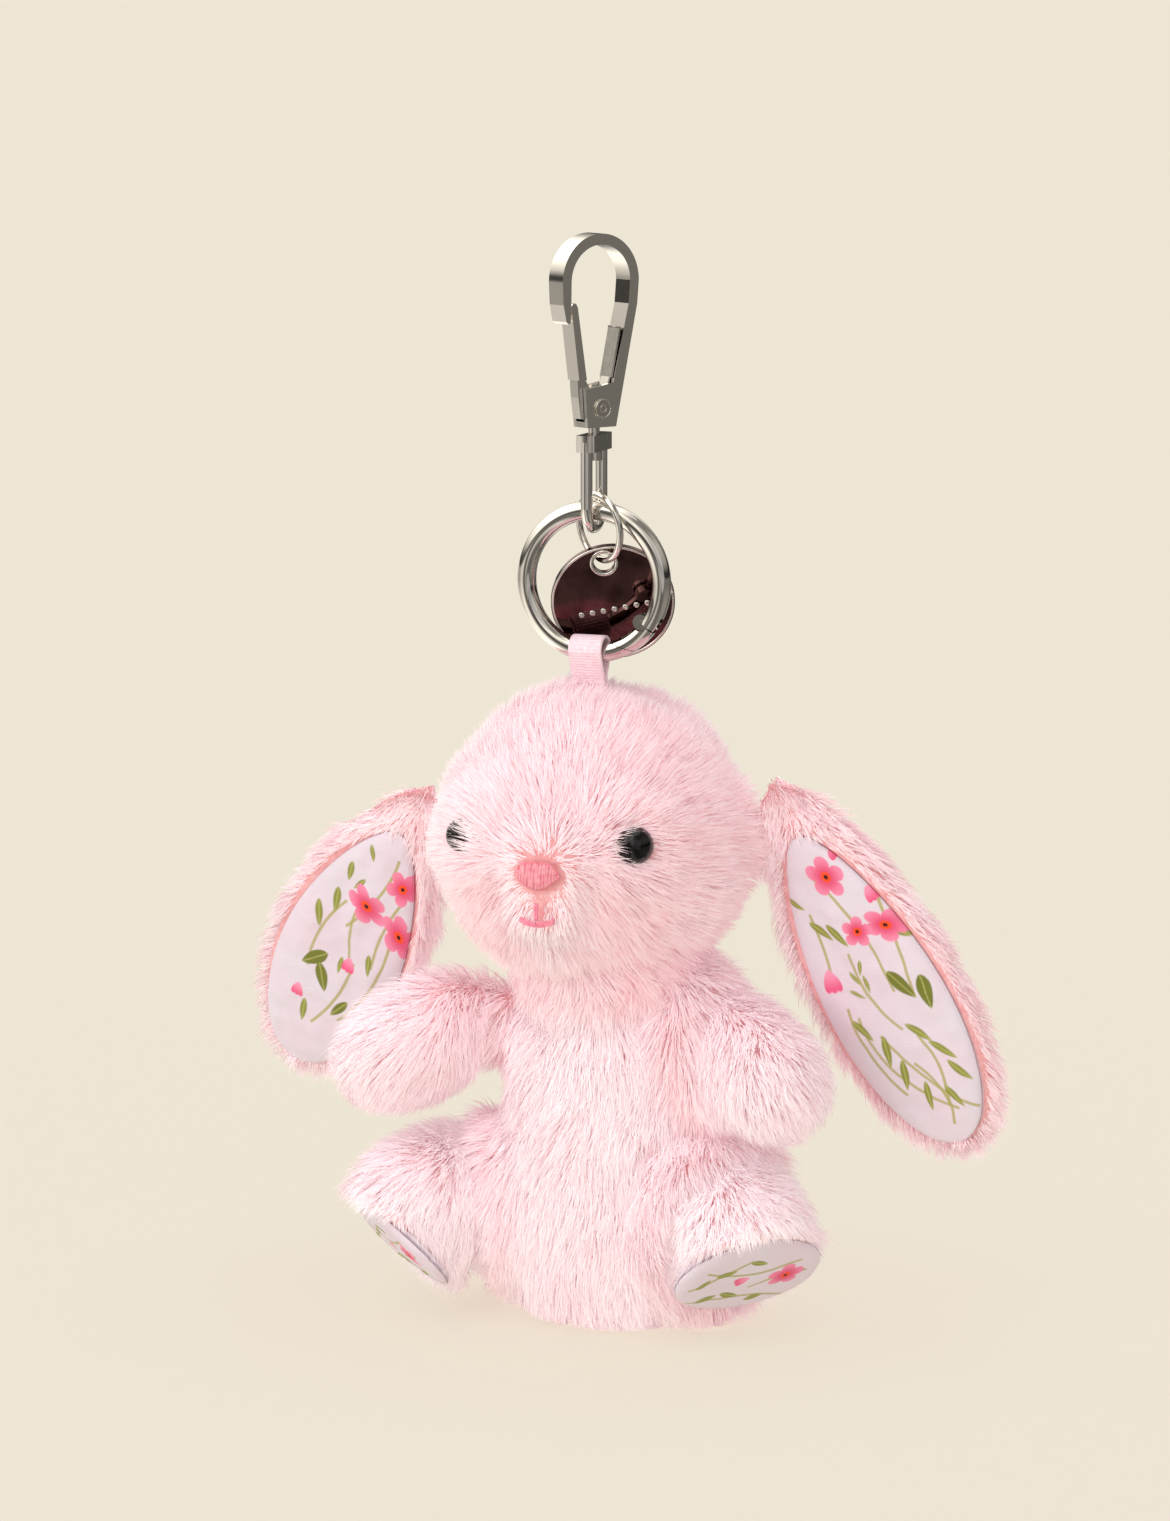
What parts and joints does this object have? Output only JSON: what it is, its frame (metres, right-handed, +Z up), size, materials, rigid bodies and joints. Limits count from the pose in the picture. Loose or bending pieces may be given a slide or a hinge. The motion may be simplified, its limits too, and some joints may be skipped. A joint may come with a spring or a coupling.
{
  "type": "plush rabbit keychain",
  "caption": "Small long-pile plush rabbit with lined lop ears, hung by a ribbon from a gate ring with a round tag and a swivel snap hook.",
  "frame": {"origin": "the point the snap hook hangs from, at the inside of its bow", "axes": "+Z up along the hanging line, -Y the way the rabbit faces, +X to the right as seen from the front, as in the names with left and right"},
  "size_m": [0.1311, 0.0631, 0.1707],
  "materials": {
    "nickel": "polished nickel plate",
    "nickel_satin": "polished nickel plate, flat pressed faces",
    "spring_steel": "bright drawn",
    "tag_mirror": "mirror polish",
    "ribbon": "ribbed grosgrain",
    "pink_fur": "long soft pile",
    "filling": "polyester fibre filling",
    "print_cotton": "printed plain weave",
    "eye_black": "high gloss",
    "washer": "moulded",
    "pink_thread": "satin stitch"
  },
  "bodies": {
    "hook": {"hook_frame": "nickel_satin", "gate_pin": "nickel", "gate_spring": "spring_steel", "swivel_rivet": "nickel"},
    "hook_gate": {"hook_gate": "nickel_satin"},
    "swivel": {"swivel_eye": "nickel"},
    "ring": {"ring_frame": "nickel", "ring_gate_pin": "nickel", "ring_gate_spring": "spring_steel"},
    "ring_gate": {"ring_gate": "nickel"},
    "jump_ring": {"jump_ring": "nickel"},
    "tag": {"tag_disc": "tag_mirror"},
    "rabbit": {"hang_ribbon": "ribbon", "head_cover": "pink_fur", "head_stuffing": "filling", "body_cover": "pink_fur", "body_stuffing": "filling", "arm_left_cover": "pink_fur", "arm_left_stuffing": "filling", "arm_right_cover": "pink_fur", "arm_right_stuffing": "filling", "leg_left_cover": "pink_fur", "leg_left_stuffing": "filling", "leg_right_cover": "pink_fur", "leg_right_stuffing": "filling", "foot_pad_left": "print_cotton", "foot_pad_right": "print_cotton", "tail_cover": "pink_fur", "tail_stuffing": "filling", "eye_left": "eye_black", "eye_right": "eye_black", "eye_washer_left": "washer", "eye_washer_right": "washer", "nose_patch": "pink_thread", "mouth_stitch": "pink_thread"},
    "ear_left": {"ear_left_back": "pink_fur", "ear_left_lining": "print_cotton"},
    "ear_right": {"ear_right_back": "pink_fur", "ear_right_lining": "print_cotton"}
  },
  "joints": [
    {"name": "hook_gate_open", "type": "hinge", "parent": "hook", "child": "hook_gate", "pos_m": [0.00016, 0.00025, -0.0253], "axis": [-0.8387, 0.5446, 0], "range_deg": [0, 19], "stiffness_Nm_per_rad": 0.02, "springref_deg": -11.46, "deforming": ["gate_spring"]},
    {"name": "swivel_spin", "type": "hinge", "parent": "hook", "child": "swivel", "pos_m": [0, 0, -0.031], "axis": [0, 0, 1], "continuous": true},
    {"name": "ring_swing", "type": "hinge", "parent": "swivel", "child": "ring", "pos_m": [0, 0, -0.0439], "axis": [0, 1, 0], "range_deg": [-20, 20]},
    {"name": "ring_gate_open", "type": "hinge", "parent": "ring", "child": "ring_gate", "pos_m": [0.00806, 0, -0.05832], "axis": [0, 1, 0], "range_deg": [0, 25], "stiffness_Nm_per_rad": 0.01, "springref_deg": -11.46},
    {"name": "jump_ring_swing", "type": "hinge", "parent": "ring", "child": "jump_ring", "pos_m": [0, 0, -0.04125], "axis": [1, 0, 0], "range_deg": [0, 12]},
    {"name": "tag_swing", "type": "hinge", "parent": "jump_ring", "child": "tag", "pos_m": [0.0012, 0.0012, -0.0494], "axis": [0.3253, -0.8937, -0.309], "range_deg": [-4, 6]},
    {"name": "rabbit_swing", "type": "hinge", "parent": "ring", "child": "rabbit", "pos_m": [0, 0, -0.0633], "axis": [1, 0, 0], "range_deg": [-25, 10]},
    {"name": "ear_left_flap", "type": "hinge", "parent": "rabbit", "child": "ear_left", "pos_m": [-0.022, 0.002, -0.089], "axis": [0, 1, 0], "range_deg": [0, 25], "stiffness_Nm_per_rad": 0.004},
    {"name": "ear_right_flap", "type": "hinge", "parent": "rabbit", "child": "ear_right", "pos_m": [0.022, 0.002, -0.085], "axis": [0, -1, 0], "range_deg": [0, 25], "stiffness_Nm_per_rad": 0.004}
  ]
}
